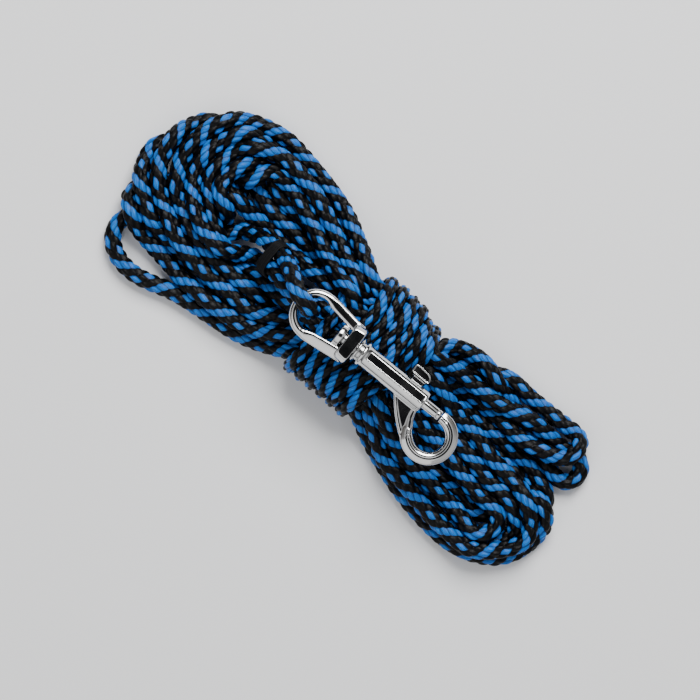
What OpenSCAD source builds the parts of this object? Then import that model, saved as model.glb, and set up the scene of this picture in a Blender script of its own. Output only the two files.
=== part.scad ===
// Hank of braided cord, folded and tied at its waist, with a swivel bolt snap at its end.
// Millimetres, +Z up. X runs along the snap from its eye to its hook, the hank rests on z = 0,
// and the origin is under the middle of the whole hank.

/* [Cord] */
// Diameter of the braided cord
cord_d = 6.4; // [5.8:0.1:6.6]
// Height of the open loops at the head of the hank
head_h = 18; // [15:0.5:18.5]
// Height of the folded loops at the tail of the hank
tail_h = 13.5; // [11:0.5:14]
// Height of the waist over its wraps
waist_h = 27; // [26.5:0.1:27.2]
// Width of the waist over its wraps
waist_w = 51; // [48:0.5:53]

/* [Snap] */
// Height of the snap's axis over the floor
axis_z = 33; // [33:0.25:36]
// Sideways place of the snap's axis
axis_y = -4.5; // [-6:0.5:-3]
// Thickness of the eye's bar
eye_bar_d = 3.6; // [3.2:0.1:4]
// Radius of the eye's bow at the middle of its bar
bow_r = 7.8; // [7.4:0.1:8.2]
// Outside diameter of the barrel
barrel_d = 8.4; // [7.8:0.1:9]
// Length of the barrel
barrel_l = 31; // [30.6:0.1:31.4]
// Thickness of the hook's bar
hook_bar_d = 4.7; // [4.3:0.1:5]
// Radius of the hook at the middle of its bar
hook_r = 8; // [7.8:0.1:8.2]

/* [Bolt] */
// Diameter of the sliding bolt
bolt_d = 4; // [3.6:0.1:4.2]
// Travel of the sliding bolt
bolt_travel = 7.5; // [5:0.5:7.5]
// Running clearance of the bolt and of the swivel post, on the radius
run_gap = 0.05; // [0.02:0.01:0.1]
// Wire diameter of the return spring
wire_d = 0.5; // [0.4:0.05:0.6]
// Coils of the return spring
coils = 9; // [6:1:10]

/* [Hidden] */

$fn = 64;
cord_black = "#1c1d20";
cord_blue = "#2f7fd6";
plate = "#c9ccd0";
steel = "#8e9298";

// Stations along the snap
bow_x = -13.8;                 // middle of the bow
eye_pivot_x = bow_x - bow_r;   // middle of the bar at the bow's tip
boss_x0 = -0.5;                // inner face of the eye's base
boss_x1 = 4.7;                 // outer face of the eye's base
boss_r = 8;
boss_half_h = 5.2;
barrel_x0 = 5;
barrel_x1 = barrel_x0 + barrel_l;
post_r = 2.5;
post_in = 9;                   // how far the post reaches into the barrel
hook_x = 44.6;                 // middle of the hook
hook_y = -hook_r;
tip_x = 43.7;                  // face of the hook's tip
bolt_tip_x = 43.4;
bolt_tail_x = 24;
tab_x0 = 25.2;
tab_x1 = 32.8;
stem_x0 = 27;
stem_x1 = 31.4;
taper = 6.6;                   // the eye's arms close in towards its base, in degrees

// Outlines of the hank seen from above, and of its waist seen along X
head_line = [[-14, 21], [-22, 28], [-34, 36], [-52, 40.5], [-70, 40.5], [-84, 36], [-95, 26],
             [-102, 12], [-102, -6], [-97, -18], [-88, -24], [-70, -27], [-52, -31], [-36, -31],
             [-22, -27], [-14, -22]];
tail_line = [[18, 18], [28, 22], [40, 25], [60, 24], [84, 25], [94, 21], [99, 11], [102, -2],
             [102, -20], [98, -29], [88, -37], [80, -40.5], [62, -40.5], [48, -38], [34, -33],
             [24, -26], [18, -23]];
waist_line = [[-waist_w / 2, 7], [-waist_w / 2, waist_h - 7], [-17, waist_h], [17, waist_h],
              [waist_w / 2, waist_h - 7], [waist_w / 2, 7], [17, 0], [-17, 0]];
core_line = [[-19, 9.5], [-19, 17.5], [-13, 20.6], [13, 20.6], [19, 17.5], [19, 9.5], [13, 6.4], [-13, 6.4]];
waist_y = -1;
waist_x0 = -12;
waist_x1 = 16.6;
core_mid = 3;

// Routes of the loose cord, along its middle
side_route = [[-89, -19, 4], [-92, -23, 3.4], [-91, -28, 3.3], [-87, -32, 3.3], [-81, -34, 3.3],
              [-74, -34.5, 3.3], [-67, -33, 3.3], [-61, -30, 3.4], [-56, -26, 4]];
eye_route = [[-58, 9.5, 11], [-52, 8, 11], [-47, 6.5, 12], [-42, 5.4, 15], [-38, 5, 19.5], [-34, 4, 25.5],
             [-30, 2, 32.7], [-27, 0, 36.8], [-24, -2, 38.6], [-21.6, -3, 38.9], [-18.6, -3.6, 38.2],
             [-16.5, -4, 36], [-15.7, -4.2, 33], [-16.5, -4.3, 30], [-18.6, -4.3, 27.8],
             [-21.6, -4.2, 27], [-25.5, -3.6, 26.4], [-30, -2.6, 24.7], [-34, -1.8, 21.8],
             [-38, -1.3, 18.2], [-41, -1.2, 15]];
whip_at = [-38, 1.85, 19];
whip_dir = [-0.66, 0.04, -0.75];

function unit(v) = v / norm(v);
// Rounds the corners of a closed outline by cutting them
function round_line(p, n) = n == 0 ? p : round_line([for (i = [0:len(p) - 1])
    let (a = p[i], b = p[(i + 1) % len(p)]) each [0.75 * a + 0.25 * b, 0.25 * a + 0.75 * b]], n - 1);
function middle(p) = [for (k = [0:1]) (max([for (q = p) q[k]]) + min([for (q = p) q[k]])) / 2];
function shrink(p, f) = let (c = middle(p)) [for (q = p) c + f * (q - c)];
// Frames that turn as little as they can along a route: tangent, normal, binormal
function along(p, i) = unit(p[min(i + 1, len(p) - 1)] - p[max(i - 1, 0)]);
function frames(p, i = 0, n = [0, 0, 0], out = []) = i == len(p) ? out :
    let (t = along(p, i),
         m = i == 0 ? unit(cross(t, abs(t[2]) < 0.8 ? [0, 0, 1] : [1, 0, 0])) : unit(n - (n * t) * t))
    frames(p, i + 1, m, concat(out, [[t, m, cross(t, m)]]));

module tube(p, r, sides) {
    f = frames(p);
    n = len(p);
    pts = [for (i = [0:n - 1]) for (k = [0:sides - 1])
        p[i] + r * (cos(360 * k / sides) * f[i][1] + sin(360 * k / sides) * f[i][2])];
    walls = [for (i = [0:n - 2]) for (k = [0:sides - 1])
        [i * sides + k, (i + 1) * sides + k, (i + 1) * sides + (k + 1) % sides, i * sides + (k + 1) % sides]];
    polyhedron(pts, concat(walls, [[for (k = [0:sides - 1]) k]],
        [[for (k = [0:sides - 1]) n * sides - 1 - k]]), convexity = 6);
}

// A flat heap of loops: an outline that draws in at the floor and towards its top
module heap(line, h) {
    p = round_line(line, 2);
    translate([0, 0, 0]) linear_extrude(height = 3) polygon(shrink(p, 0.985));
    translate([0, 0, 3]) linear_extrude(height = h - 8) polygon(p);
    translate([0, 0, h - 5]) linear_extrude(height = 3) polygon(shrink(p, 0.95));
    translate([0, 0, h - 2]) linear_extrude(height = 2) polygon(shrink(p, 0.89));
}

module side_profile(p, w) {
    translate([0, waist_y + w / 2, 0]) rotate([90, 0, 0]) linear_extrude(height = w) polygon(p);
}

module core(x0, x1) {
    translate([x0, waist_y, 0]) rotate([90, 0, 90]) linear_extrude(height = x1 - x0)
        polygon(round_line(core_line, 2));
}

// Cylinder from one point to another
module rod(a, b, r) {
    d = b - a;
    translate(a) rotate([0, acos(d[2] / norm(d)), atan2(d[1], d[0])]) cylinder(r = r, h = norm(d));
}

module on_axis() {
    translate([0, axis_y, axis_z]) children();
}

module along_x(x0, x1, r) {
    translate([x0, 0, 0]) rotate([0, 90, 0]) cylinder(r = r, h = x1 - x0);
}

// Open loops at the head of the hank, with the half of the waist's runs that they lead into
module head_loops() {
    color(cord_black) difference() {
        union() {
            heap(head_line, head_h);
            side_profile([[-50, 1], [-50, head_h - 2], [-30, 19], [waist_x0 - 0.2, 20.5], [waist_x0 - 0.2, 5], [-20, 1]], 42);
            core(waist_x0 - 1, core_mid);
        }
        // the open middle of the loops, where the end with the snap comes up
        translate([-47, 3, 8]) cylinder(r = 8.5, h = 30);
        translate([-35, 2, 8]) cylinder(r = 8.5, h = 30);
        translate([-47, -6, 8]) cube([12, 17, 30]);
    }
}

// Folded loops at the tail of the hank, with the other half of the waist's runs
module tail_loops() {
    color(cord_blue) union() {
        heap(tail_line, tail_h);
        side_profile([[waist_x1 + 0.2, 5], [waist_x1 + 0.2, 20.5], [23, 18], [32, tail_h - 1], [46, tail_h - 1], [46, 1], [26, 1]], 40);
        core(core_mid, waist_x1 + 1);
    }
}

// Turns of the cord around the waist
module waist_wraps() {
    color(cord_blue) translate([waist_x0, waist_y, 0]) rotate([90, 0, 90])
        linear_extrude(height = waist_x1 - waist_x0) difference() {
            polygon(round_line(waist_line, 2));
            polygon(shrink(round_line(core_line, 2), 1.03));
        }
}

// Loop of cord that has slipped out beside the head
module side_loop() {
    color(cord_black) tube(side_route, cord_d / 2, 10);
}

// End of the cord, over the eye's bow, through the eye and back beside itself
module eye_loop() {
    color(cord_blue) tube(eye_route, cord_d / 2, 10);
}

// Thread whipped around the cord and its own end
module eye_whipping() {
    side = unit(cross(whip_dir, cross([0, 1, 0], whip_dir)));
    color(cord_black) for (s = [-1, 0, 1])
        rod(whip_at + s * 2.6 * side - 3 * unit(whip_dir), whip_at + s * 2.6 * side + 3 * unit(whip_dir), cord_d / 2 + 0.6);
}

// Eye that the cord is tied to: a bow, two arms and a drilled base
module swivel_eye() {
    tx = bow_x + bow_r * sin(taper);
    ty = bow_r * cos(taper);
    color(plate) on_axis() difference() {
        union() {
            translate([bow_x, 0, 0]) rotate([0, 0, 90 - taper]) rotate_extrude(angle = 180 + 2 * taper)
                translate([bow_r, 0]) circle(d = eye_bar_d);
            for (s = [-1, 1]) rod([tx - 0.6, s * (ty + 0.6 * tan(taper)), 0], [2, s * (ty - (2 - tx) * tan(taper)), 0], eye_bar_d / 2 + 0.1);
            intersection() {
                along_x(boss_x0, boss_x1, boss_r);
                translate([boss_x0 - 1, -boss_r - 1, -boss_half_h]) cube([boss_x1 - boss_x0 + 2, 2 * boss_r + 2, 2 * boss_half_h]);
            }
        }
        along_x(boss_x0 - 4, boss_x1 + 4, post_r + run_gap);
        // room for the head of the post
        along_x(boss_x0 - 8, boss_x0, 4.8);
    }
}

// Post that the eye turns on: headed inside the eye, pressed into the barrel
module swivel_post() {
    color(steel) on_axis() {
        translate([-3.7, 0, 0]) rotate([0, 90, 0]) rotate_extrude()
            polygon([[0, 0], [3.9, 0], [4.4, 0.5], [4.4, 2.4], [3.9, 2.9], [post_r, 2.9], [post_r, post_in + 3.2],
                     [post_r - 0.5, post_in + 3.7], [0, post_in + 3.7]]);
    }
}

// Barrel, hook and the web between them, one casting
module hook_body() {
    r = hook_bar_d / 2;
    land = r - 0.2;     // how far the land inside the hook lies from the middle of its bar
    color(plate) on_axis() difference() {
        union() {
            along_x(barrel_x0, barrel_x1, barrel_d / 2);
            along_x(barrel_x0, barrel_x0 + 2.4, barrel_d / 2 + 0.4);
            // hook
            translate([hook_x, hook_y, 0]) rotate([0, 0, -172]) rotate_extrude(angle = 262)
                translate([hook_r, 0]) circle(d = hook_bar_d);
            along_x(tip_x, hook_x + 0.7, r + 0.1);
            // outer ridge and web from the barrel to the hook
            rod([25.5, -2.6, 0], [38.6, -13.6, 0], 1.7);
            rod([34.2, -2, 0], [36.9, -9.8, 0], 1.9);
            translate([0, 0, -1.1]) linear_extrude(height = 2.2)
                polygon([[25.5, -2.4], [38.4, -13.4], [38.9, -12], [37.4, -9], [36, -4], [34.5, -2]]);
        }
        // straight land inside the hook, where a ring or bar lies
        translate([hook_x, hook_y, -4]) cylinder(r = hook_r - land, h = 8);
        // bore of the bolt, and the seat of the post behind it
        along_x(post_in, barrel_x1 + 1, bolt_d / 2 + run_gap);
        along_x(barrel_x0 - 1, post_in, post_r);
        // slot of the thumb tab
        translate([stem_x0 - bolt_travel - 0.4, 0, -1.2]) cube([stem_x1 - stem_x0 + bolt_travel + 0.8, 10, 2.4]);
        // long flat panel on the upper side, and its like below
        for (s = [-1, 1]) translate([10.5, -1.2, s * barrel_d / 2 - 0.35]) cube([24, 2.4, 0.7]);
    }
}

// Sliding bolt that closes the hook
module bolt() {
    color(plate) on_axis() difference() {
        translate([bolt_tail_x, 0, 0]) rotate([0, 90, 0]) rotate_extrude()
            polygon([[0, 0], [bolt_d / 2 - 0.3, 0], [bolt_d / 2, 0.3], [bolt_d / 2, bolt_tip_x - bolt_tail_x - 0.4],
                     [bolt_d / 2 - 0.4, bolt_tip_x - bolt_tail_x], [0, bolt_tip_x - bolt_tail_x]]);
        // cross slot of the thumb tab
        translate([stem_x0, 0.4, -1]) cube([stem_x1 - stem_x0, 5, 2]);
    }
}

// Tab that draws the bolt back: a stem pressed into the bolt, and a pad
module thumb_tab() {
    color(plate) on_axis() {
        translate([stem_x0, 0.4, -1]) cube([stem_x1 - stem_x0, 6.2, 2]);
        translate([0, 0, -2.2]) linear_extrude(height = 4.4)
            polygon(concat([[tab_x0, 6.2], [tab_x0, 9.2]],
                [for (a = [90:-15:0]) [tab_x1 - 2.6 + 2.6 * cos(a), 6.6 + 2.6 * sin(a)]], [[tab_x1, 6.2]]));
    }
}

// Spring that pushes the bolt against the hook
module return_spring() {
    n = coils * 12;
    x0 = post_in + 0.7 + wire_d / 2;
    x1 = bolt_tail_x - wire_d / 2 - 0.05;
    r = bolt_d / 2 - wire_d / 2 - 0.15;
    color(steel) on_axis() tube([for (i = [0:n]) [x0 + (x1 - x0) * i / n, r * cos(30 * i), r * sin(30 * i)]], wire_d / 2, 6);
}

head_loops();
tail_loops();
waist_wraps();
side_loop();
eye_loop();
eye_whipping();
swivel_eye();
swivel_post();
hook_body();
bolt();
thumb_tab();
return_spring();
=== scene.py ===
import math

import bmesh
import bpy
import numpy as np
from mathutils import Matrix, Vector


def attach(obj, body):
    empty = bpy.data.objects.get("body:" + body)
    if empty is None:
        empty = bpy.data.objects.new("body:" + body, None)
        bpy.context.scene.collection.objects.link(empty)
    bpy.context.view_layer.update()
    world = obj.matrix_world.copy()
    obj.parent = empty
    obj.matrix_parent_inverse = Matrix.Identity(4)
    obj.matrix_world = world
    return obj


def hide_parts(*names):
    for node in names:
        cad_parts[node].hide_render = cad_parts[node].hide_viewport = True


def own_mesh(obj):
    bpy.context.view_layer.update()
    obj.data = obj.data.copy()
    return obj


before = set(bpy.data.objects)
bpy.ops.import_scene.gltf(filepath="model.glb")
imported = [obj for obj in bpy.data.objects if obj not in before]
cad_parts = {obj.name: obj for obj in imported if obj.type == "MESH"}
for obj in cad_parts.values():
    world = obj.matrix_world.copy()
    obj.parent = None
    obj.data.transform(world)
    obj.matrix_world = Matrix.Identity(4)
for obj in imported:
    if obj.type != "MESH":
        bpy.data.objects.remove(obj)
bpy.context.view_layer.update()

MM = 0.001
CORD_D = 6.4             # mm
AXIS_Y, AXIS_Z = -4.5, 33.0

# ------------------------------------------------------------------ camera
TURN = math.radians(39)
cam_data = bpy.data.cameras.new("camera")
cam_data.sensor_width = 36
cam_data.lens = 36 * 1.18 / 0.252
cam_data.clip_end = 10
cam = bpy.data.objects.new("camera", cam_data)
cam.location = (0.0035, -0.0064, 1.2)
cam.rotation_euler = (0, 0, TURN)
bpy.context.scene.collection.objects.link(cam)
bpy.context.scene.camera = cam

# ------------------------------------------------------------------ route of the cord, mm
# The bundle of loops turns over by half as it rounds the head's end: middle lines of its outer and inner edge
OUTER = [(-66, 37.3), (-76, 35), (-85, 30.6), (-92, 24.2), (-97.8, 16), (-100.3, 7), (-100.3, -1), (-98.3, -8.5), (-93.5, -15), (-86, -19.5), (-77, -21.6)]
INNER = [(-55, 22.8), (-60, 23), (-64, 21), (-65.8, 16.5), (-66, 11.5), (-65.6, 7), (-64.6, 3), (-63, -0.8), (-60.5, -4.2), (-57, -6.5), (-52, -8)]
ON_TOP = 0.80            # part of the turn that a strand spends on top, going inwards
TWIST = 4 / 7            # turns of the bundle round the head


def bundle(p0, t0=0.0, t1=1.0):
    """One strand through the bundle; p0 is where in its turn it starts, 0 being the outer edge."""
    out = []
    o, n = np.array(OUTER), np.array(INNER)
    for t in np.arange(t0, t1 + 1e-6, 0.05):
        f = (p0 + TWIST * t) % 1.0
        if f < ON_TOP:
            e = f / ON_TOP
            q = 0.7 * (1 - 2 * e) + 0.3 * math.cos(math.pi * e)
            up = min(1.0, min(e, 1 - e) / 0.16)
            z = 3.4 + 6.6 * up * up * (3 - 2 * up)
        else:
            e = (f - ON_TOP) / (1 - ON_TOP)
            q = -math.cos(math.pi * e) - 0.55 * math.sin(math.pi * min(1.0, 1.5 * e))
            z = 3.3
        c = [np.interp(t * 10, range(11), g[:, k]) for g in (o, n) for k in (0, 1)]
        out.append((0.5 * (c[0] + c[2]) + 0.5 * q * (c[0] - c[2]), 0.5 * (c[1] + c[3]) + 0.5 * q * (c[1] - c[3]), z))
    return out


# Loops of the head: from the waist, round, and back to the waist
L1 = [(-11, 20.3, 15), (-18, 24, 12), (-26, 28.8, 8), (-35, 32.8, 5), (-46, 35.6, 4), (-57, 37, 3.6)] + bundle(0.0) + [
      (-48, -12.5, 6), (-38, -12.5, 4.5), (-24, -10.5, 11)]
L2 = [(-12, 18, 11), (-23, 24.5, 6), (-34, 29, 4), (-47, 31.5, 4.5), (-58, 33.8, 7)] + bundle(1 / 7) + [
      (-50.5, -3, 7), (-45, -2.6, 5.5), (-38, -2.8, 3.8), (-31, -3.4, 5), (-24, -4, 8)]
L3 = [(-11, 15.4, 19), (-22, 19.5, 15), (-34, 26.8, 11), (-47, 30.5, 10)] + bundle(2 / 7, 0, 0.9) + [
      (-48, -9.3, 3.6), (-37, -8.3, 8.5), (-24, -7, 14)]
L4 = [(-24, 17.8, 5), (-34, 19.9, 3.5), (-46, 20.6, 3.6), (-54, 21.6, 3.6)] + bundle(3 / 7, 0.1, 0.8) + [
      (-78, -12.5, 3.3), (-88, -16.2, 3.3), (-91.5, -21.5, 3.3), (-91.5, -27, 3.3), (-86.5, -32.4, 3.3), (-79, -34.8, 3.3), (-70.5, -34, 3.3),
      (-63, -30.8, 3.3), (-55, -27.8, 3.3), (-44, -27.8, 3.3), (-34, -27.3, 3.5), (-23, -25.3, 6)]
L5 = [(-11, 10.6, 20), (-22, 13.8, 16), (-34, 19.6, 12), (-45, 24.2, 10)] + bundle(4 / 7) + [
      (-64, -22.6, 6), (-52, -24.8, 8.5), (-42, -26, 9), (-33, -25.5, 9), (-24, -21.5, 10)]
L6 = [(-24, 11.5, 7), (-34, 13, 4.5), (-44, 14, 3.3), (-52, 14.6, 3.3), (-59.5, 16.2, 3.3)] + bundle(6 / 7, 0.15) + [
      (-50, -17.3, 9), (-38, -16, 9), (-24, -14.5, 13)]
L7 = [(-24, 8.5, 9), (-33, 9.5, 5), (-42, 9.4, 3.4), (-50, 8.4, 3.3), (-57, 7.3, 3.3), (-63, 9.3, 3.3)] + bundle(5 / 7, 0.35) + [
      (-58, -19.8, 6), (-46, -20.3, 4), (-34, -20, 6), (-24, -18, 9)]
# The end that comes from the eye, going under the bundle and back into the waist
TB = [(-47, 5.4, 12), (-53, 4.4, 7.5), (-58.8, 2.6, 4), (-61.6, -3.4, 3.3), (-60, -10, 3.3), (-56.5, -14.8, 3.3), (-50.5, -16.3, 3.3), (-43, -14, 3.3), (-35, -9, 4), (-24, -2.5, 12)]
# Loops of the tail
Ca = [(26, 6, 13), (40, 6.5, 10), (54, 7.3, 9), (68, 7.6, 8.5), (78, 8, 8), (86, 9.6, 8), (92, 12.2, 7.5), (93.8, 16.6, 6), (89.5, 20.8, 5),
      (80, 21.7, 4), (68, 20.9, 4), (57, 20.2, 4.5), (48, 17.8, 4), (38, 14.5, 4), (28, 12.5, 8)]
Cb = [(25, 13.5, 10), (30, 18.6, 8), (37, 21.8, 6.5), (44, 21.3, 6), (52, 18.4, 6), (61, 15.8, 4), (70, 13.4, 3.3), (78, 9.5, 3.3), (85, 4.8, 3.3), (91.5, 2, 3.3),
      (97, 4.2, 3.3), (97.8, 9, 3.4), (93.5, 12.2, 4), (84, 12.8, 6), (73, 14.6, 8), (60, 14.6, 8.5), (44, 13, 9), (32, 12, 12), (25, 9.5, 15)]
Cc = [(26, -12, 9), (38, -13, 5), (55, -13.5, 3.3), (68, -13.5, 3.2), (80, -13, 3.2), (90, -11, 3.2), (96, -7.5, 3.2), (95.6, -3, 3.4),
      (89, -0.8, 4), (78, 0, 4), (66, 2.5, 3.4), (54, 3, 3.6), (44, 0.5, 7), (37, -2, 11)]
D1 = [(26, -24.5, 7), (36, -28.8, 4), (48, -32.7, 3.2), (60, -36, 3.2), (72, -37.2, 3.2), (82, -35.6, 3.2), (91.5, -31.2, 3.2), (98, -25, 3.4),
      (100.2, -17, 4), (99.5, -9.5, 4), (95, -4.8, 4), (85, -3.8, 4), (70, -5, 3.5), (55, -5, 3.2), (40, -4, 4), (26, -3, 7)]
D2 = [(26, -22.5, 10), (35, -26, 9), (46, -30, 8.5), (58, -33.6, 8.5), (70, -35.4, 8.3), (80, -34.8, 8), (89, -31.2, 7.5), (95.5, -25.5, 7.5),
      (98, -18.5, 8.5), (95.5, -11.8, 9.5), (88.5, -8.4, 10.5), (79, -7.5, 10.5), (68, -5, 9.5), (54, -2, 9.5), (40, 0, 10), (26, 1.5, 13)]
D3 = [(26, -20.5, 8), (38, -25.5, 4.5), (50, -29, 3.3), (62, -31.8, 3.3), (73, -33, 5), (82, -32.6, 8), (89.5, -28.8, 9.5), (92.6, -22.5, 10.5),
      (90, -16.2, 10.5), (83, -12.8, 10), (74, -12, 9.5), (64, -9.5, 9), (52, -6.5, 9.3), (40, -4.8, 10), (26, -3, 14)]
D4 = [(26, -18.5, 13), (36, -22, 9), (46, -24.6, 6), (57, -26.8, 7), (67, -28.6, 8.5), (76, -29.8, 10), (83.5, -28, 11), (86.6, -23.2, 11),
      (83.6, -18, 10), (76, -16.8, 9), (66, -15.6, 9), (52, -12.5, 9), (38, -9.8, 10), (26, -8, 13)]
D5 = [(26, -14, 14), (36, -16.5, 9), (48, -19, 5), (58, -20.4, 3.4), (67, -21.6, 3.2), (75, -22.6, 3.2), (81, -20, 3.2), (82.3, -14.8, 3.2),
      (78, -10.4, 3.2), (70, -9, 3.2), (60, -9.2, 3.2), (50, -9.8, 3.3), (38, -10.6, 5), (26, -11, 9)]
# Places of the runs in the waist (y, z)
SLOTS = {"L2t": (14.3, 9.2), "L4t": (8.6, 9.2), "L6t": (2.9, 9.2), "L7b": (-2.8, 9.2), "L5b": (-8.5, 9.2), "L3b": (-15.2, 9.2),
         "L1t": (17.0, 14.0), "L7t": (5.8, 14.0), "L3t": (11.4, 14.0), "Tb": (0.2, 14.0), "L4b": (-5.5, 14.0), "L2b": (-11.2, 14.0),
         "L1b": (-18.0, 13.6), "L5t": (6.0, 18.6), "L6b": (-5.6, 18.6)}
# The end at the eye: from the whipping, under the bow's bar, through the eye, over it and back
EYE = [(-41, -1.2, 15), (-38, -1.3, 18.2), (-34, -1.8, 21.8), (-30, -2.6, 24.7), (-25.5, -3.6, 26.4), (-21.6, -4.2, 27),
       (-18.6, -4.3, 27.8), (-16.5, -4.3, 30), (-15.7, -4.2, 33), (-16.5, -4, 36), (-18.6, -3.6, 38.2), (-21.6, -3, 38.9),
       (-24, -2, 38.6), (-27, 0, 36.8), (-30, 2, 32.7), (-34, 4, 25.5), (-38, 5, 19.5), (-42, 5.4, 15)]
# Room that the snap sweeps as it turns about its axis: stations and radii
SWEEP_X = [5, 17.4, 17.6, 24, 25, 31.3, 36.3, 39.8, 43, 46.3, 49.6, 52.3, 54.6, 55.4, 56]
SWEEP_R = [4.7, 4.7, 9.4, 9.4, 9.4, 11.4, 15.3, 17, 17.9, 18.1, 17.2, 15.6, 12, 8, 0]
AT_EYE, AT_HEAD, AT_WAIST, AT_TAIL, AT_WRAP = range(5)


def slot_run(name, from_head):
    y, z = SLOTS[name]
    return [(x, y * (0.84 if x == 14 and y > 0 else 1), z) for x in ((-6, 3, 14) if from_head else (14, 3, -4))]


def wraps():
    """Turns around the waist, from the tail towards the head, with the end tucked under."""
    out = [(30.5, -2.2, 15), (26.2, 1, 18.6), (23.6, 6, 20.6), (21.6, 11, 20.3), (20.6, 15.4, 17.4)]
    py = (20.6, 18.6, 14.6, 10.2, 6.0, 1.6)     # where they pass the +Y side
    my = (14.5, 9.5, 4.8, 0.6, -4.5)            # where they pass the -Y side
    reach = (16.8, 18.0, 19.9, 21.3, 21.3, 21.3)
    for k in range(5):
        a, b, c = py[k], my[k], py[k + 1]
        w, r = reach[k], reach[k + 1]
        out += [(a, w, 12.5), (a - 0.6, w - 3, 6.2), (0.75 * a + 0.25 * b, 8, 3.3), ((a + b) / 2, 0, 3.2), (0.25 * a + 0.75 * b, -10, 3.3),
                (b + 0.3, -21, 6.2), (b, -24.3, 13.5), (b + 0.3, -21.2, 20.3), (0.8 * b + 0.2 * c + 2.2, -11, 23.7), ((b + c) / 2 + 3.6, 0, 24),
                (0.2 * b + 0.8 * c + 3.2, 0.5 * r, 23.4), (c + 1.0, r - 2.6, 20)]
    return out + [(0.6, 21.2, 12.5), (-1.4, 18.3, 6.2), (-4, 9, 3.3), (-6.4, 0, 3.2), (-8.2, -10, 3.3), (-9.4, -21, 6.2), (-9.6, -24.3, 13.5),
                  (-9.2, -21.2, 20.2), (-8.4, -12, 23), (-8.0, -4.5, 22.3), (-8.4, 2, 19), (-9.5, 8, 15.5)]


def drawn_route():
    seq = [(EYE, AT_EYE), (TB, AT_HEAD), (slot_run("Tb", True), AT_WAIST)]
    for tail, t, head, b in ((Ca, "L1t", L1, "L5b"), (D5, "L6t", L6, "L4b"), (D4, "L5t", L5, "L2b"), (D2, "L3t", L3, "L6b"),
                             (Cb, "L7t", L7, "L3b"), (D3, "L4t", L4, "L1b"), (D1, "L2t", L2, "L7b")):
        seq += [(tail, AT_TAIL), (slot_run(t, False), AT_WAIST), (head, AT_HEAD), (slot_run(b, True), AT_WAIST)]
    return seq + [(Cc, AT_TAIL), (wraps(), AT_WRAP)]


def spline(P, step):
    """Centripetal Catmull-Rom curve through P at even steps, with the index of the point before each."""
    P = np.asarray(P, float)
    Q = np.vstack([2 * P[0] - P[1], P, 2 * P[-1] - P[-2]])
    out, own = [], []
    for i in range(1, len(Q) - 2):
        p0, p1, p2, p3 = Q[i - 1:i + 3]
        t1 = np.linalg.norm(p1 - p0) ** .5
        t2 = t1 + np.linalg.norm(p2 - p1) ** .5
        t3 = t2 + np.linalg.norm(p3 - p2) ** .5
        t = np.linspace(t1, t2, 24, endpoint=False)[:, None]
        a1 = (t1 - t) / t1 * p0 + t / t1 * p1
        a2 = (t2 - t) / (t2 - t1) * p1 + (t - t1) / (t2 - t1) * p2
        a3 = (t3 - t) / (t3 - t2) * p2 + (t - t2) / (t3 - t2) * p3
        b1 = (t2 - t) / t2 * a1 + t / t2 * a2
        b2 = (t3 - t) / (t3 - t1) * a2 + (t - t1) / (t3 - t1) * a3
        out.append((t2 - t) / (t2 - t1) * b1 + (t - t1) / (t2 - t1) * b2)
        own += [i - 1] * 24
    out = np.vstack(out + [P[-1:]])
    own = np.array(own + [len(P) - 1])
    s = np.r_[0, np.cumsum(np.linalg.norm(np.diff(out, axis=0), axis=1))]
    u = np.linspace(0, s[-1], int(round(s[-1] / step)) + 1)
    R = np.stack([np.interp(u, s, out[:, k]) for k in range(3)], 1)
    return R, own[np.clip(np.searchsorted(s, u, side="right") - 1, 0, len(own) - 1)], s[-1]


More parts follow.
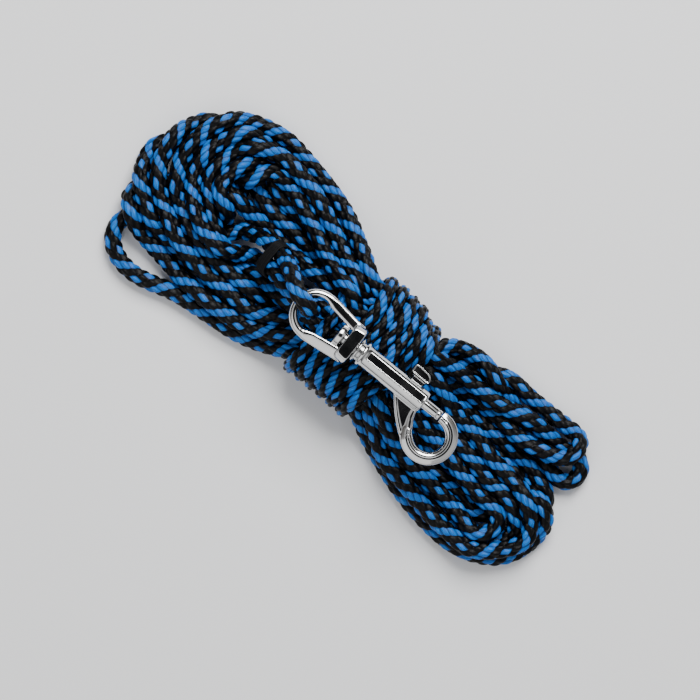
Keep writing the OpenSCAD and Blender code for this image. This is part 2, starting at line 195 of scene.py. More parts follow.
def settle(iters=400, step=3.0):
    """Lets the drawn cord sink under its weight until it rests on the floor and on itself."""
    P, kinds = [], []
    for pts, kind in drawn_route():
        P += list(pts)
        kinds += [kind] * len(pts)
    X, idx, length = spline(P, step)
    kind = np.array(kinds)[idx]
    n = len(X)
    X0, h = X.copy(), length / (n - 1)
    pin = np.select([kind == AT_EYE, kind == AT_WAIST, kind == AT_WRAP], [1.0, 0.12, 0.12], 0.0)
    w = np.where(kind == AT_EYE, 0.0, 1.0)
    diam = np.select([kind == AT_WAIST, kind == AT_WRAP], [5.5, 5.2], 6.15)
    floor = CORD_D / 2
    rng = np.arange(n)
    for it in range(iters):
        a = 1.0 if it < iters * 0.7 else max(0.15, 1 - (it - iters * 0.7) / (iters * 0.3))
        X[:, 2] -= 0.06 * w * (kind != AT_WRAP) * a
        X[:, :2] += (0.03 * a * w)[:, None] * (X0 - X)[:, :2]
        X[:, 2] += 0.004 * w * (X0 - X)[:, 2]
        m = pin > 0
        X[m] += pin[m][:, None] * (X0 - X)[m]
        if it % 6 == 0:
            d2 = ((X[:, None, :] - X[None, :, :]) ** 2).sum(-1)
            pi, pj = np.nonzero(np.triu((d2 < 8.5 ** 2) & (np.abs(rng[:, None] - rng[None, :]) > 5)))
        for sub in range(3):
            for par in (0, 1):              # keeps its length
                i = np.arange(par, n - 1, 2)
                j = i + 1
                d = X[j] - X[i]
                l = np.linalg.norm(d, axis=1)
                ws = np.maximum(w[i] + w[j], 1e-9)
                c = ((l - h) / np.maximum(l, 1e-6) / ws)[:, None] * d
                X[i] += w[i][:, None] * c
                X[j] -= w[j][:, None] * c
            for par in range(4):            # resists sharp bends
                i = np.arange(par, n - 2, 4)
                j = i + 2
                d = X[j] - X[i]
                l = np.linalg.norm(d, axis=1)
                lim = 1.92 * h
                ws = np.maximum(w[i] + w[j], 1e-9)
                c = np.where(l < lim, (l - lim) / np.maximum(l, 1e-6) / ws, 0)[:, None] * d * 0.5
                X[i] += w[i][:, None] * c
                X[j] -= w[j][:, None] * c
            for par in range(8):
                i = np.arange(par, n - 4, 8)
                j = i + 4
                d = X[j] - X[i]
                l = np.linalg.norm(d, axis=1)
                lim = 3.4 * h
                ws = np.maximum(w[i] + w[j], 1e-9)
                c = np.where(l < lim, (l - lim) / np.maximum(l, 1e-6) / ws, 0)[:, None] * d * 0.4
                X[i] += w[i][:, None] * c
                X[j] -= w[j][:, None] * c
            d = X[pj] - X[pi]               # rests on itself
            l = np.linalg.norm(d, axis=1)
            lim = np.minimum(diam[pi], diam[pj])
            hit = l < lim
            i, j = pi[hit], pj[hit]
            ll = np.maximum(l[hit], 1e-6)
            ws = np.maximum(w[i] + w[j], 1e-9)
            c = ((ll - lim[hit]) / ll / ws * 0.42)[:, None] * d[hit]
            np.add.at(X, i, w[i][:, None] * c)
            np.add.at(X, j, -w[j][:, None] * c)
            q = X[:, 1:] - np.array([AXIS_Y, AXIS_Z])   # stays out of the snap's way
            rq = np.linalg.norm(q, axis=1)
            need = np.interp(X[:, 0], SWEEP_X, SWEEP_R, left=0, right=0) + 3.45
            m = (rq < need) & (kind != AT_EYE) & (X[:, 0] > 6)
            X[m, 1:] += (q / rq[:, None] * (need - rq)[:, None])[m] * 0.6
            X[:, 2] = np.maximum(X[:, 2], floor)
        lap = np.zeros_like(X)
        lap[1:-1] = 0.5 * (X[:-2] + X[2:]) - X[1:-1]
        X += 0.12 * w[:, None] * lap
        X[:, 2] = np.maximum(X[:, 2], floor)
    return X, kind


nodes, node_kind = settle()

# ------------------------------------------------------------------ braided cord
LEAD = 16.0              # mm of cord in one turn of the coloured band
COLS = 8                 # columns of floats around the cord
NU, NV = 4, 8            # faces across and along a float
ROW = LEAD / 4 / NV      # mm; a column has four floats in one lead
LEAN = 2                 # rows by which a float leans over its own width
AROUND = COLS * NU
CREST, GROOVE = 3.32, 2.45   # mm from the cord's middle


def smooth_line(X, step, sigma):
    Q, idx, length = spline(X, 0.4)
    half = int(3 * sigma / 0.4)
    g = np.exp(-0.5 * (np.arange(-half, half + 1) * 0.4 / sigma) ** 2)
    g /= g.sum()
    pad = np.vstack([2 * Q[0] - Q[half:0:-1], Q, 2 * Q[-1] - Q[-2:-half - 2:-1]])
    Q = np.stack([np.convolve(pad[:, k], g, "valid") for k in range(3)], 1)
    s = np.r_[0, np.cumsum(np.linalg.norm(np.diff(Q, axis=0), axis=1))]
    u = np.arange(int(s[-1] / step) + 1) * step
    R = np.stack([np.interp(u, s, Q[:, k]) for k in range(3)], 1)
    k = np.interp(u, np.linspace(0, s[-1], len(idx)), idx)
    return R, np.clip(np.round(k).astype(int), 0, len(X) - 1)


line, near = smooth_line(nodes, ROW, 1.5)
line_kind = node_kind[near]
line[:, 2] = np.maximum(line[:, 2], CREST + 0.02)
rows = len(line)
T = np.gradient(line, axis=0)
T /= np.linalg.norm(T, axis=1)[:, None]
N = np.zeros_like(line)
v = np.array([0, 0, 1.0])
for i in range(rows):
    v = v - (v @ T[i]) * T[i]
    v /= np.linalg.norm(v)
    N[i] = v
# the cord has taken a little twist here and there
a = ROW * np.arange(rows)
a = 0.8 * np.sin(a / 31 + 1) + 0.6 * np.sin(a / 17.3 + 2.2) + 0.5 * np.sin(a / 67)
N = np.cos(a)[:, None] * N + np.sin(a)[:, None] * np.cross(T, N)
B = np.cross(T, N)
# the turns around the waist press each other narrower
squeeze = np.where(line_kind == AT_WRAP, 0.86, 1.0)
squeeze = np.convolve(np.pad(squeeze, 20, "edge"), np.ones(41) / 41, "valid")
side = np.zeros((rows, 3))
side[:, 0] = 1
side -= (side * T).sum(1)[:, None] * T
side /= np.maximum(np.linalg.norm(side, axis=1), 1e-6)[:, None]


def at(arr, s):
    i0 = np.clip(np.floor(s).astype(int), 0, rows - 2)
    f = (s - i0)
    f = f[..., None] if arr.ndim == 2 else f
    return arr[i0] * (1 - f) + arr[i0 + 1] * f


def braid(r0, r1):
    """Points of the tube between two rows; its grid leans as the floats do, and each turn of it ends LEAN * COLS rows on."""
    ii = np.arange(r0, r1 + LEAN * COLS + 1)[:, None]
    jj = np.arange(AROUND)[None, :]
    k, u = jj // NU, (jj % NU) / NU - 0.5
    s = np.clip(ii - LEAN * jj / NU, r0, r1)
    swell = [np.sin(np.pi * ((ii + LEAN * (k + d)) % NV) / NV) for d in (-1, 0, 1)]
    lift = np.clip(1 - (2 * np.abs(u)) ** 2.2, 0, 1) ** 0.8 * (0.12 + 0.88 * swell[1] ** 0.6)
    push = 0.2 * ((0.5 - u) * (swell[0] - swell[1]) + (0.5 + u) * (swell[1] - swell[2]))
    th = 2 * np.pi * (k + 0.5 + u + push) / COLS
    r = GROOVE + (CREST - GROOVE) * lift
    off = r[..., None] * (np.cos(th)[..., None] * at(N, s) + np.sin(th)[..., None] * at(B, s))
    sd = at(side, s)
    off += ((at(squeeze, s) - 1) * (off * sd).sum(-1))[..., None] * sd
    return (at(line, s) + off) * MM, s, lift


mats = {}


def new_mat(name):
    m = bpy.data.materials.new(name)
    m.use_nodes = True
    nt = m.node_tree
    bsdf = nt.nodes["Principled BSDF"]
    mats[name] = m
    return m, nt, bsdf


def node(nt, kind, **kw):
    n = nt.nodes.new(kind)
    for k, val in kw.items():
        if k in n.inputs:
            n.inputs[k].default_value = val
        else:
            setattr(n, k, val)
    return n


def ramp(nt, fac, stops):
    r = nt.nodes.new("ShaderNodeValToRGB")
    e = r.color_ramp.elements
    while len(e) < len(stops):
        e.new(0.5)
    for x, (p, c) in zip(e, stops):
        x.position = p
        x.color = (*c, 1) if len(c) == 3 else c
    nt.links.new(fac, r.inputs["Fac"])
    return r


def yarn(name, dark, mid, light, rough, spec):
    """Fine filaments along each float, with lighter and darker ones among them, and painted shade darkening the grooves
    between floats.
    """
    m, nt, b = new_mat(name)
    uv = node(nt, "ShaderNodeUVMap", uv_map="fibre")
    mp = node(nt, "ShaderNodeMapping")
    mp.inputs["Rotation"].default_value = (0, 0, math.radians(-21.7))
    mp.inputs["Scale"].default_value = (9.0, 0.35, 1)
    nt.links.new(uv.outputs["UV"], mp.inputs["Vector"])
    fib = node(nt, "ShaderNodeTexNoise", Scale=1.0, Detail=3.0, Roughness=0.6)
    nt.links.new(mp.outputs["Vector"], fib.inputs["Vector"])
    col_r = ramp(nt, fib.outputs["Fac"], [(0.25, dark), (0.5, mid), (0.78, light)])
    # painted shade: the colour is multiplied darker where the float sinks into the groove between floats (low lift),
    # standing in for the shade there
    lift = node(nt, "ShaderNodeAttribute", attribute_name="lift")
    groove_painted_shade = ramp(nt, lift.outputs["Fac"], [(0.0, (0.22,) * 3), (0.25, (0.74,) * 3), (0.55, (1.0,) * 3)])
    painted_shade_mix = node(nt, "ShaderNodeMix", data_type="RGBA", blend_type="MULTIPLY")
    painted_shade_mix.inputs["Factor"].default_value = 1.0
    nt.links.new(col_r.outputs["Color"], painted_shade_mix.inputs["A"])
    nt.links.new(groove_painted_shade.outputs["Color"], painted_shade_mix.inputs["B"])
    nt.links.new(painted_shade_mix.outputs["Result"], b.inputs["Base Color"])
    rr = ramp(nt, fib.outputs["Fac"], [(0.3, (rough + 0.14,) * 3), (0.7, (rough - 0.06,) * 3)])
    nt.links.new(rr.outputs["Color"], b.inputs["Roughness"])
    bump = node(nt, "ShaderNodeBump", Strength=0.55, Distance=0.00012)
    nt.links.new(fib.outputs["Fac"], bump.inputs["Height"])
    nt.links.new(bump.outputs["Normal"], b.inputs["Normal"])
    b.inputs["Specular IOR Level"].default_value = spec
    return m


cord_black = yarn("cord_black", (0.0005, 0.0005, 0.0008), (0.0014, 0.0014, 0.002), (0.0075, 0.0072, 0.0078), 0.33, 0.13)
cord_blue = yarn("cord_blue", (0.0, 0.036, 0.21), (0.001, 0.105, 0.46), (0.014, 0.37, 0.92), 0.38, 0.22)


def mesh_object(name, verts, faces, smooth=True):
    me = bpy.data.meshes.new(name)
    me.from_pydata(verts, [], faces)
    me.validate()
    me.update()
    if smooth:
        me.polygons.foreach_set("use_smooth", [True] * len(me.polygons))
    o = bpy.data.objects.new(name, me)
    bpy.context.scene.collection.objects.link(o)
    return o


def cord_piece(name, r0, r1):
    """Rows r0 to r1 of the braided cord as one closed tube."""
    xyz, s, lift = braid(r0, r1)
    n = len(xyz)
    turn = LEAN * COLS
    i, j = (x.ravel() for x in np.meshgrid(np.arange(n - 1), np.arange(AROUND), indexing="ij"))
    seam = j == AROUND - 1
    j2 = np.where(seam, 0, j + 1)
    ia = np.where(seam, np.maximum(i - turn, 0), i)
    ib = np.where(seam, np.maximum(i + 1 - turn, 0), i + 1)
    quads = np.stack([i * AROUND + j, ia * AROUND + j2, ib * AROUND + j2, (i + 1) * AROUND + j], -1)
    sv = s.ravel()[quads]
    keep = sv.max(1) - sv.min(1) > 1e-6
    i, j, quads = i[keep], j[keep], quads[keep]
    me = bpy.data.meshes.new(name)
    me.vertices.add(n * AROUND)
    me.vertices.foreach_set("co", xyz.ravel())
    me.loops.add(len(quads) * 4)
    me.loops.foreach_set("vertex_index", quads.ravel())
    me.polygons.add(len(quads))
    me.polygons.foreach_set("loop_start", np.arange(len(quads)) * 4)
    me.update(calc_edges=True)
    me.materials.append(cord_black)
    me.materials.append(cord_blue)
    # lift also drives the painted shade in the grooves of the cord materials
    me.attributes.new("lift", "FLOAT", "POINT").data.foreach_set("value", np.broadcast_to(lift, xyz.shape[:2]).astype(np.float32).ravel())
    k = j // NU
    f = (i + r0 + LEAN * k) // NV % 4
    blue = (f == 0) | ((f == 2) & (k % 2 == 0))
    me.polygons.foreach_set("material_index", blue.astype(np.int32))
    # fibre map: millimetres around and along; bake map: the tube cut into strips
    fib = me.uv_layers.new(name="fibre")
    bake = me.uv_layers.new(name="OFBake")
    di, dj = np.array([0, 0, 1, 1]), np.array([0, 1, 1, 0])
    fj = (j[:, None] + dj) * (2 * np.pi * CREST / AROUND)
    fi = (i[:, None] + di + r0) * ROW - (j[:, None] + dj) * LEAN / NU * ROW
    per = max(1, int(math.sqrt(n * ROW * 2 * np.pi * CREST) / ROW))
    strips = -(-n // per)
    m = i // per
    bu = ((i - m * per)[:, None] + di) / per * 0.98 + 0.01
    bv = (m[:, None] + (j[:, None] + dj) / AROUND * 0.94 + 0.03) / strips * 0.97
    fib.data.foreach_set("uv", np.stack([fj, fi], -1).ravel())
    bake.data.foreach_set("uv", np.stack([bu, bv], -1).ravel())
    bm = bmesh.new()
    bm.from_mesh(me)
    bmesh.ops.delete(bm, geom=[q for q in bm.verts if not q.link_faces], context="VERTS")
    bmesh.ops.remove_doubles(bm, verts=list({q for e in bm.edges if e.is_boundary or e.calc_length() < 1e-7 for q in e.verts}), dist=1e-7)
    bmesh.ops.dissolve_degenerate(bm, edges=[e for e in bm.edges if e.calc_length() < 1e-7], dist=1e-7)
    caps = bmesh.ops.holes_fill(bm, edges=[e for e in bm.edges if e.is_boundary], sides=0)["faces"]
    for q, face in enumerate(caps):
        for n_, lp in enumerate(face.loops):
            t = 2 * math.pi * n_ / len(face.loops)
            lp[bm.loops.layers.uv["OFBake"]].uv = (0.3 + 0.3 * q + 0.008 * math.cos(t), 0.985 + 0.008 * math.sin(t))
    bmesh.ops.recalc_face_normals(bm, faces=bm.faces)
    bm.to_mesh(me)
    bm.free()
    me.polygons.foreach_set("use_smooth", np.ones(len(me.polygons), bool))
    o = bpy.data.objects.new(name, me)
    bpy.context.scene.collection.objects.link(o)
    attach(o, "hank")
    return o


# The pieces meet inside the waist, under the wraps, and are as even as that allows
inside = [r for r in range(rows) if abs(line[r][0] - 3) < 2.5 and 5.5 < line[r][2] < 18.5 and abs(line[r][1]) < 16][::8]
cuts = min(([0, a, c, rows - 1] for a in inside for c in inside if a < c), key=lambda q: max(np.diff(q)))
for k, name in enumerate(("cord_first", "cord_middle", "cord_last")):
    r0, r1 = cuts[k], cuts[k + 1]
    o = cord_piece(name, r0, r1)
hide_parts("eye_loop", "side_loop")
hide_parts("head_loops")
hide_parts("tail_loops", "waist_wraps")

# ------------------------------------------------------------------ whipping at the eye


def tube(name, path, r, sides=10, closed=False):
    """Round tube along a line of points in millimetres."""
    P = np.asarray(path, float)
    n = len(P)
    t = np.gradient(P, axis=0) if not closed else np.roll(P, -1, 0) - np.roll(P, 1, 0)
    t /= np.linalg.norm(t, axis=1)[:, None]
    vv = np.cross(t[0], [0.3, 0.5, 0.8])
    fr = []
    for k in range(n):
        vv = vv - (vv @ t[k]) * t[k]
        vv /= np.linalg.norm(vv)
        fr.append(vv)
    fr = np.array(fr)
    bi = np.cross(t, fr)
    a = np.arange(sides) * 2 * np.pi / sides
    V = P[:, None] + r * (np.cos(a)[None, :, None] * fr[:, None] + np.sin(a)[None, :, None] * bi[:, None])
    V = V.reshape(-1, 3)
    F = []
    for k in range(n if closed else n - 1):
        k2 = (k + 1) % n
        for q in range(sides):
            F.append((k * sides + q, k * sides + (q + 1) % sides, k2 * sides + (q + 1) % sides, k2 * sides + q))
    if not closed:
        F.append(tuple(range(sides - 1, -1, -1)))
        F.append(tuple(range((n - 1) * sides, n * sides)))
    return mesh_object(name, (V * MM).tolist(), F)


thread, nt, b = new_mat("whipping_thread")
tc = node(nt, "ShaderNodeTexCoord")
nz = node(nt, "ShaderNodeTexNoise", Scale=2600.0, Detail=2.0)
nt.links.new(tc.outputs["Object"], nz.inputs["Vector"])
r_ = ramp(nt, nz.outputs["Fac"], [(0.3, (0.0007, 0.0007, 0.001)), (0.7, (0.0032, 0.0032, 0.0038))])
nt.links.new(r_.outputs["Color"], b.inputs["Base Color"])
bp = node(nt, "ShaderNodeBump", Strength=0.6, Distance=0.0001)
nt.links.new(nz.outputs["Fac"], bp.inputs["Height"])
nt.links.new(bp.outputs["Normal"], b.inputs["Normal"])
b.inputs["Roughness"].default_value = 0.55
b.inputs["Specular IOR Level"].default_value = 0.14


def whipping():
    d = Vector((-0.66, 0.04, -0.75)).normalized()
    mid = Vector((-38, 1.85, 19))
    e = Vector((0, 1, 0))
    e = (e - e.dot(d) * d).normalized()
    g = d.cross(e)
    turns, per = 5, 40
    out = []
    for k in range(turns * per + 1):
        a = 2 * math.pi * k / per
        c, s = math.cos(a), math.sin(a)
        r = CORD_D / 2 + 0.4
        x = 3.1 * max(-1, min(1, 3 * c)) + r * c * 0.96
        p = mid + d * (-2.7 + 5.4 * k / (turns * per)) + e * x + g * (r * s)
        out.append(tuple(p))
    return tube("eye_whipping_thread", out, 0.55, 10)


wh = whipping()
wh.data.materials.append(thread)
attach(wh, "hank")
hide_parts("eye_whipping")

# ------------------------------------------------------------------ plated snap
chrome, nt, b = new_mat("plated")
tc = node(nt, "ShaderNodeTexCoord")
nz = node(nt, "ShaderNodeTexNoise", Scale=160.0, Detail=3.0, Roughness=0.5)
nt.links.new(tc.outputs["Object"], nz.inputs["Vector"])
r_ = ramp(nt, nz.outputs["Fac"], [(0.3, (0.10,) * 3), (0.75, (0.16,) * 3)])
nt.links.new(r_.outputs["Color"], b.inputs["Roughness"])
c_ = ramp(nt, nz.outputs["Fac"], [(0.3, (0.595, 0.60, 0.605)), (0.7, (0.66, 0.66, 0.66))])
nt.links.new(c_.outputs["Color"], b.inputs["Base Color"])
bp = node(nt, "ShaderNodeBump", Strength=0.08, Distance=0.0002)
nt.links.new(nz.outputs["Fac"], bp.inputs["Height"])
nt.links.new(bp.outputs["Normal"], b.inputs["Normal"])
b.inputs["Metallic"].default_value = 1.0
def lathe(profile, seg=72):
    """Closed body of revolution about the snap's axis; profile is (x, r) with r = 0 at both ends."""
    V, F, rings = [], [], []
    for x, r in profile:
        if r == 0:
            rings.append([len(V)])
            V.append((x, 0, 0))
        else:
            rings.append(list(range(len(V), len(V) + seg)))
            V += [(x, r * math.cos(2 * math.pi * q / seg), r * math.sin(2 * math.pi * q / seg)) for q in range(seg)]
    for a, c in zip(rings, rings[1:]):
        for q in range(seg):
            q2 = (q + 1) % seg
            if len(a) == 1:
                F.append((a[0], c[q2], c[q]))
            elif len(c) == 1:
                F.append((a[q], a[q2], c[0]))
            else:
                F.append((a[q], a[q2], c[q2], c[q]))
    return V, F


ROUND = [(math.cos(2 * math.pi * q / 28), math.sin(2 * math.pi * q / 28)) for q in range(28)]
# hook's section: rounded towards its opening, with a sloping flat band along the outside
BANDED = [(1, 0), (0.97, 0.3), (0.87, 0.56), (0.7, 0.76), (0.45, 0.9), (0.2, 0.93), (0.06, 0.86), (-0.02, 0.84), (-0.1, 0.9), (-0.3, 0.84), (-0.6, 0.7),
          (-0.9, 0.56), (-1.0, 0.42), (-1.03, 0.2)]
BANDED = BANDED + [(-1.03, 0)] + [(a, -b) for a, b in BANDED[:0:-1]]


def eye_section(f):
    """Round on the bow, flat above and below on the first arm, with sloping faces on the last one."""
    flat, slope = max(0.0, min(1.0, (0.31 - f) / 0.09)), max(0.0, min(1.0, (f - 0.69) / 0.09))
    out = []
    for q in range(32):
        c, s = math.cos(2 * math.pi * q / 32), math.sin(2 * math.pi * q / 32)
        a, b = math.copysign(abs(c) ** 0.65, c), math.copysign(abs(s) ** 0.36, s)
        out.append(((1 - flat - slope) * c + (flat + slope) * a, (1 - flat - slope) * s + flat * 0.82 * b + slope * (0.64 + 0.24 * a) * b))
    return out


def sweep(path, radii, section=ROUND):
    """Bar along a line in the snap's plane, with a radius at each point."""
    P = np.asarray(path, float)
    if P.shape[1] == 2:
        P = np.c_[P, np.zeros(len(P))]
    R = np.asarray(radii, float)
    d = np.r_[0, np.cumsum(np.linalg.norm(np.diff(P, axis=0), axis=1))]
    Q, idx, length = spline(P, 0.35)
    R = np.interp(np.linspace(0, length, len(Q)), d * length / d[-1], R)
    t = np.gradient(Q, axis=0)
    t /= np.linalg.norm(t, axis=1)[:, None]
    n = np.cross([0, 0, 1.0], t)
    m = len(Q)
    sec = np.array([section(k / (m - 1)) for k in range(m)] if callable(section) else [section])
    sides = sec.shape[1]
    V = Q[:, None] + R[:, None, None] * (sec[:, :, 0, None] * n[:, None] + sec[:, :, 1, None] * np.array([0, 0, 1.0]))
    F = [(k * sides + q, k * sides + (q + 1) % sides, (k + 1) * sides + (q + 1) % sides, (k + 1) * sides + q) for k in range(m - 1) for q in range(sides)]
    F += [tuple(range(sides - 1, -1, -1)), tuple(range((m - 1) * sides, m * sides))]
    return [tuple(x) for x in V.reshape(-1, 3)], F


def slab(poly, z0, z1):
    n = len(poly)
    V = [(x, y, z0) for x, y in poly] + [(x, y, z1) for x, y in poly]
    F = [tuple(range(n - 1, -1, -1)), tuple(range(n, 2 * n))]
    return V, F + [(q, (q + 1) % n, n + (q + 1) % n, n + q) for q in range(n)]


def brick(x0, x1, y0, y1, z0, z1):
    return slab([(x0, y0), (x1, y0), (x1, y1), (x0, y1)], z0, z1)


def join(shells):
    V, F = [], []
    for v, f in shells:
        F += [tuple(q + len(V) for q in face) for face in f]
        V += list(v)
    return V, F


def snap_object(name, shells):
    """Object from shells given about the snap's axis, in millimetres."""
    V, F = join(shells)
    me = bpy.data.meshes.new(name)
    me.from_pydata([(x * MM, (y + AXIS_Y) * MM, (z + AXIS_Z) * MM) for x, y, z in V], [], F)
    bm = bmesh.new()
    bm.from_mesh(me)
    bmesh.ops.recalc_face_normals(bm, faces=bm.faces)
    bm.to_mesh(me)
    bm.free()
    o = bpy.data.objects.new(name, me)
    bpy.context.scene.collection.objects.link(o)
    return o


def bake_modifiers(o):
    dg = bpy.context.evaluated_depsgraph_get()
    dg.update()
    me = bpy.data.meshes.new_from_object(o.evaluated_get(dg))
    old = o.data
    o.modifiers.clear()
    o.data = me
    bpy.data.meshes.remove(old)


def cast(o, voxel, smooth, cutters=(), after=3):
    """Melts overlapping shells into one rounded casting, cuts it, and rounds the cut edges a little."""
    m = o.modifiers.new("melt", "REMESH")
    m.mode, m.voxel_size = "VOXEL", voxel * MM
    m = o.modifiers.new("soften", "SMOOTH")
    m.factor, m.iterations = 0.5, smooth
    bake_modifiers(o)
    if cutters:
        for k, shells in enumerate(cutters):
            c = snap_object("cutter", [shells])
            m = o.modifiers.new("cut", "BOOLEAN")
            m.operation, m.solver, m.object = "DIFFERENCE", "EXACT", c
            bake_modifiers(o)
            bpy.data.objects.remove(c)
        m = o.modifiers.new("melt", "REMESH")
        m.mode, m.voxel_size = "VOXEL", voxel * MM
        m = o.modifiers.new("soften", "SMOOTH")
        m.factor, m.iterations = 0.5, after
        bake_modifiers(o)
    o.data.polygons.foreach_set("use_smooth", np.ones(len(o.data.polygons), bool))


def plated(o, body, slot, *nodes):
    o.data.materials.clear()
    o.data.materials.append(chrome)
    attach(o, body)
    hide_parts(*nodes)


def arc(cx, cy, r, a0, a1, n):
    return [(cx + r * math.cos(math.radians(a0 + (a1 - a0) * k / n)), cy + r * math.sin(math.radians(a0 + (a1 - a0) * k / n))) for k in range(n + 1)]


# barrel, hook and web
ring = arc(44.6, -8, 8, -160, 90, 40)
body = snap_object("hook_casting", [
    lathe([(5.0, 0), (5.0, 4.2), (5.15, 4.6), (5.4, 4.9), (5.75, 4.95), (6.05, 4.7), (6.35, 4.1), (6.6, 3.7), (6.95, 3.7), (7.2, 4.2),
           (7.45, 4.75), (7.75, 5.0), (8.1, 5.05), (8.5, 4.9), (8.9, 4.55), (9.4, 4.3), (10, 4.2), (22, 4.2), (35.2, 4.2), (35.7, 4.1), (36.0, 3.75), (36.0, 0)]),
    sweep([(34.2, -1.0), (34.5, -4.0), (35.3, -7.0), (37.0, -10.2)] + ring + [(44.2, 0), (43.7, 0)],
          [1.15, 1.2, 1.35, 1.65] + [1.8, 1.95, 2.1, 2.25] + [2.4] * (len(ring) - 7) + [2.35, 2.3, 2.25] + [2.2, 2.2], BANDED),
    sweep([(24.8, -2.2), (27.4, -5.4), (31.9, -9.9), (36.6, -13.6), (40.0, -15.4), (43.2, -16.1)], [0.85, 0.95, 1.0, 1.05, 1.25, 1.7]),
    slab([(25, -1.5), (27.4, -5.4), (31.9, -9.9), (36.6, -13.6), (40.0, -15.4), (40.5, -13), (37.4, -10.4), (35.4, -7), (34.5, -3.5), (34.3, -1.5)], -0.8, 0.8),
])
cast(body, 0.175, 4, [
    lathe([(9.0, 0), (9.0, 2.06), (37, 2.06), (37, 0)], 48),
    brick(19.1, 31.8, 0, 10, -1.2, 1.2),
    brick(9.7, 35.0, -0.75, 2.25, 3.55, 6),
    brick(9.7, 35.0, -2.25, 0.75, -6, -3.55),
])
plated(body, "snap", "plated", "hook_body")

# eye: bow, arms and the drilled base, which is flat above and below
bow = arc(-13.8, 0, 7.8, 83.4, 276.6, 36)
base = lathe([(0.0, 0), (0.0, 6.4), (0.35, 7.1), (1.0, 7.5), (3.9, 7.75), (4.5, 7.5), (4.75, 6.9), (4.75, 0)])
eye = snap_object("eye_casting", [
    sweep([(2.6, 5.6), (-0.5, 6.0), (-5.5, 6.7)] + bow + [(-5.5, -6.7), (-0.5, -6.0), (2.6, -5.6)],
          [2.4, 2.1, 2.0] + [1.9] + [1.8] * (len(bow) - 2) + [2.05] + [2.3, 2.35, 2.4], eye_section),
    ([(x, y, max(-5.1, min(5.1, z))) for x, y, z in base[0]], base[1]),
])
cast(eye, 0.15, 4, [lathe([(-4, 0), (-4, 2.56), (6, 2.56), (6, 0)], 48)], 2)
plated(eye, "eye", "plated", "swivel_eye")

# headed post
post = snap_object("post_turned", [lathe([(-3.75, 0), (-3.75, 3.8), (-3.4, 4.3), (-3.0, 4.4), (-1.6, 4.4), (-1.25, 4.25), (-1.1, 3.7), (-0.95, 3.5), (-0.8, 3.4), (-0.8, 2.5), (8.5, 2.5), (9.0, 2.0), (9.0, 0)])])
m = post.modifiers.new("round", "BEVEL")
m.width, m.segments, m.limit_method, m.angle_limit = 0.00012, 2, "ANGLE", math.radians(28)
bake_modifiers(post)
post.data.polygons.foreach_set("use_smooth", np.ones(len(post.data.polygons), bool))
plated(post, "snap", "plated", "swivel_post")

# sliding bolt with a turned ring near its tip
bolt = snap_object("bolt_turned", [lathe([(24, 0), (24, 1.6), (24.35, 1.98), (36, 2.0), (41.6, 2.0), (41.75, 1.86), (41.95, 1.86), (42.1, 2.0), (42.9, 2.0), (43.25, 1.85), (43.4, 1.5), (43.4, 0)], 64)])
m = bolt.modifiers.new("round", "BEVEL")
m.width, m.segments, m.limit_method, m.angle_limit = 0.0001, 2, "ANGLE", math.radians(28)
bake_modifiers(bolt)
bolt.data.polygons.foreach_set("use_smooth", np.ones(len(bolt.data.polygons), bool))
plated(bolt, "bolt", "plated", "bolt")

# thumb tab: stem, and a pad with a raised rim on both faces
def pad_outline(d):
    return [(25.2 + d, 6.2 + d), (25.2 + d, 7.6), (25.2 + d, 9.2 - d)] + arc(30.2, 6.6, 2.6 - d, 90, 0, 9) + [(32.8 - d, 6.2 + d)]


rim = pad_outline(0.17)
rim = rim + [rim[0]]
small = [(math.cos(2 * math.pi * q / 12), math.sin(2 * math.pi * q / 12)) for q in range(12)]
tab = snap_object("tab_pad", [slab(pad_outline(0.06), -1.82, 1.82), brick(27, 31.4, 0.4, 6.8, -1.0, 1.0), brick(26.4, 32.0, 5.5, 6.6, -1.45, 1.45)]
                  + [sweep([(x, y, z) for x, y in rim], [0.17] * len(rim), small) for z in (-1.9, 1.9)])
cast(tab, 0.085, 2)
plated(tab, "bolt", "plated", "thumb_tab")

# return spring
wire, nt, b = new_mat("spring_wire")
tc = node(nt, "ShaderNodeTexCoord")
nz = node(nt, "ShaderNodeTexNoise", Scale=900.0, Detail=2.0)
nt.links.new(tc.outputs["Object"], nz.inputs["Vector"])
r_ = ramp(nt, nz.outputs["Fac"], [(0.3, (0.22,) * 3), (0.7, (0.34,) * 3)])
nt.links.new(r_.outputs["Color"], b.inputs["Roughness"])
c_ = ramp(nt, nz.outputs["Fac"], [(0.3, (0.42, 0.42, 0.43)), (0.7, (0.5, 0.5, 0.5))])
nt.links.new(c_.outputs["Color"], b.inputs["Base Color"])
b.inputs["Metallic"].default_value = 1.0
turns = 9
helix = [(9.95 + (23.7 - 9.95) * k / (turns * 24), AXIS_Y + 1.6 * math.cos(2 * math.pi * k / 24), AXIS_Z + 1.6 * math.sin(2 * math.pi * k / 24)) for k in range(turns * 24 + 1)]
spring = tube("spring_coil", helix, 0.25, 10)
spring.data.materials.append(wire)
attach(spring, "snap")
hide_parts("return_spring")
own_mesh(spring)

# ------------------------------------------------------------------ floor and light
fl, nt, b = new_mat("floor")
b.inputs["Base Color"].default_value = (0.83, 0.835, 0.845, 1)
b.inputs["Roughness"].default_value = 0.9
b.inputs["Specular IOR Level"].default_value = 0.1
floor = mesh_object("floor", [(-3, -3, 0), (3, -3, 0), (3, 3, 0), (-3, 3, 0)], [(0, 1, 2, 3)], smooth=False)
floor.data.materials.append(fl)

world = bpy.data.worlds.new("world")
bpy.context.scene.world = world
world.use_nodes = True
wn = world.node_tree
bg = wn.nodes["Background"]
tcw = wn.nodes.new("ShaderNodeTexCoord")
sep = wn.nodes.new("ShaderNodeSeparateXYZ")
wn.links.new(tcw.outputs["Generated"], sep.inputs["Vector"])
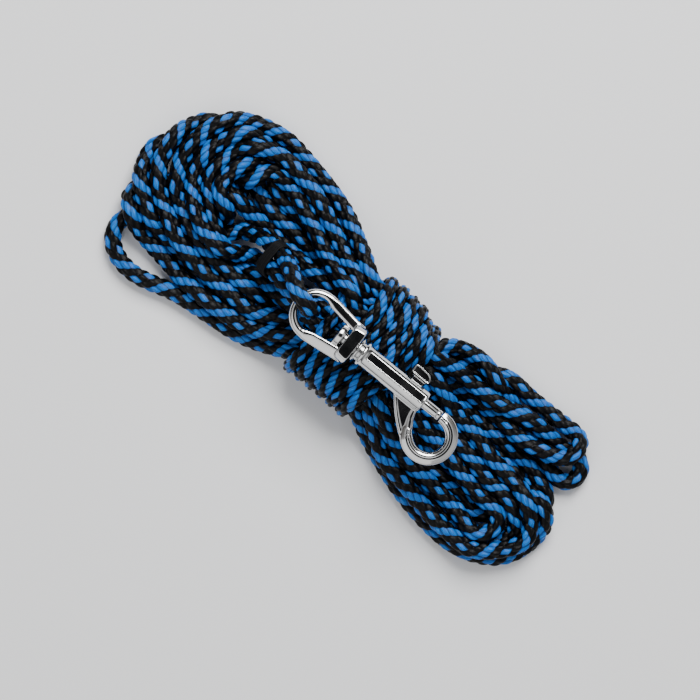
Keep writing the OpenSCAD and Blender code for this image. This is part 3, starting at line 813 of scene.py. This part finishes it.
# soft white low down on one side, darker on the other, and a dark patch straight above
lit = ramp(wn, sep.outputs["Z"], [(0.0, (0.08, 0.08, 0.085)), (0.25, (0.22, 0.22, 0.225)), (0.48, (0.62, 0.62, 0.63)), (0.62, (0.73, 0.73, 0.73)), (0.90, (0.73, 0.73, 0.73)), (0.957, (0.003, 0.0035, 0.005))])
dim = ramp(wn, sep.outputs["Z"], [(0.0, (0.02, 0.02, 0.02)), (0.35, (0.04, 0.038, 0.035)), (0.6, (0.16, 0.15, 0.14)), (0.8, (0.7, 0.7, 0.7)), (0.90, (0.82, 0.82, 0.82)), (0.957, (0.003, 0.0035, 0.005))])
dot = wn.nodes.new("ShaderNodeVectorMath")
dot.operation = "DOT_PRODUCT"
wn.links.new(tcw.outputs["Generated"], dot.inputs[0])
dot.inputs[1].default_value = (0.62, -0.78, 0.0)
mr = wn.nodes.new("ShaderNodeMapRange")
mr.interpolation_type = "SMOOTHSTEP"
mr.inputs["From Min"].default_value = -0.35
mr.inputs["From Max"].default_value = 0.35
wn.links.new(dot.outputs["Value"], mr.inputs["Value"])
mixw = wn.nodes.new("ShaderNodeMix")
mixw.data_type = "RGBA"
wn.links.new(mr.outputs["Result"], mixw.inputs["Factor"])
wn.links.new(dim.outputs["Color"], mixw.inputs["A"])
wn.links.new(lit.outputs["Color"], mixw.inputs["B"])
wn.links.new(mixw.outputs["Result"], bg.inputs["Color"])
bg.inputs["Strength"].default_value = 0.93


def area(name, where, to, size, power, col=(1, 1, 1)):
    d = bpy.data.lights.new(name, "AREA")
    d.energy = power
    d.size = size
    d.color = col
    o = bpy.data.objects.new(name, d)
    o.location = where
    o.rotation_euler = (Vector(to) - Vector(where)).to_track_quat("-Z", "Y").to_euler()
    bpy.context.scene.collection.objects.link(o)
    return o


up = Vector((-math.sin(TURN), math.cos(TURN), 0))
right = Vector((math.cos(TURN), math.sin(TURN), 0))
area("key", tuple(up * 0.75 + right * 0.25 + Vector((0, 0, 0.95))), (0, 0, 0), 0.7, 24)
area("fill", tuple(-up * 0.7 - right * 0.5 + Vector((0, 0, 0.8))), (0, 0, 0), 1.5, 5)
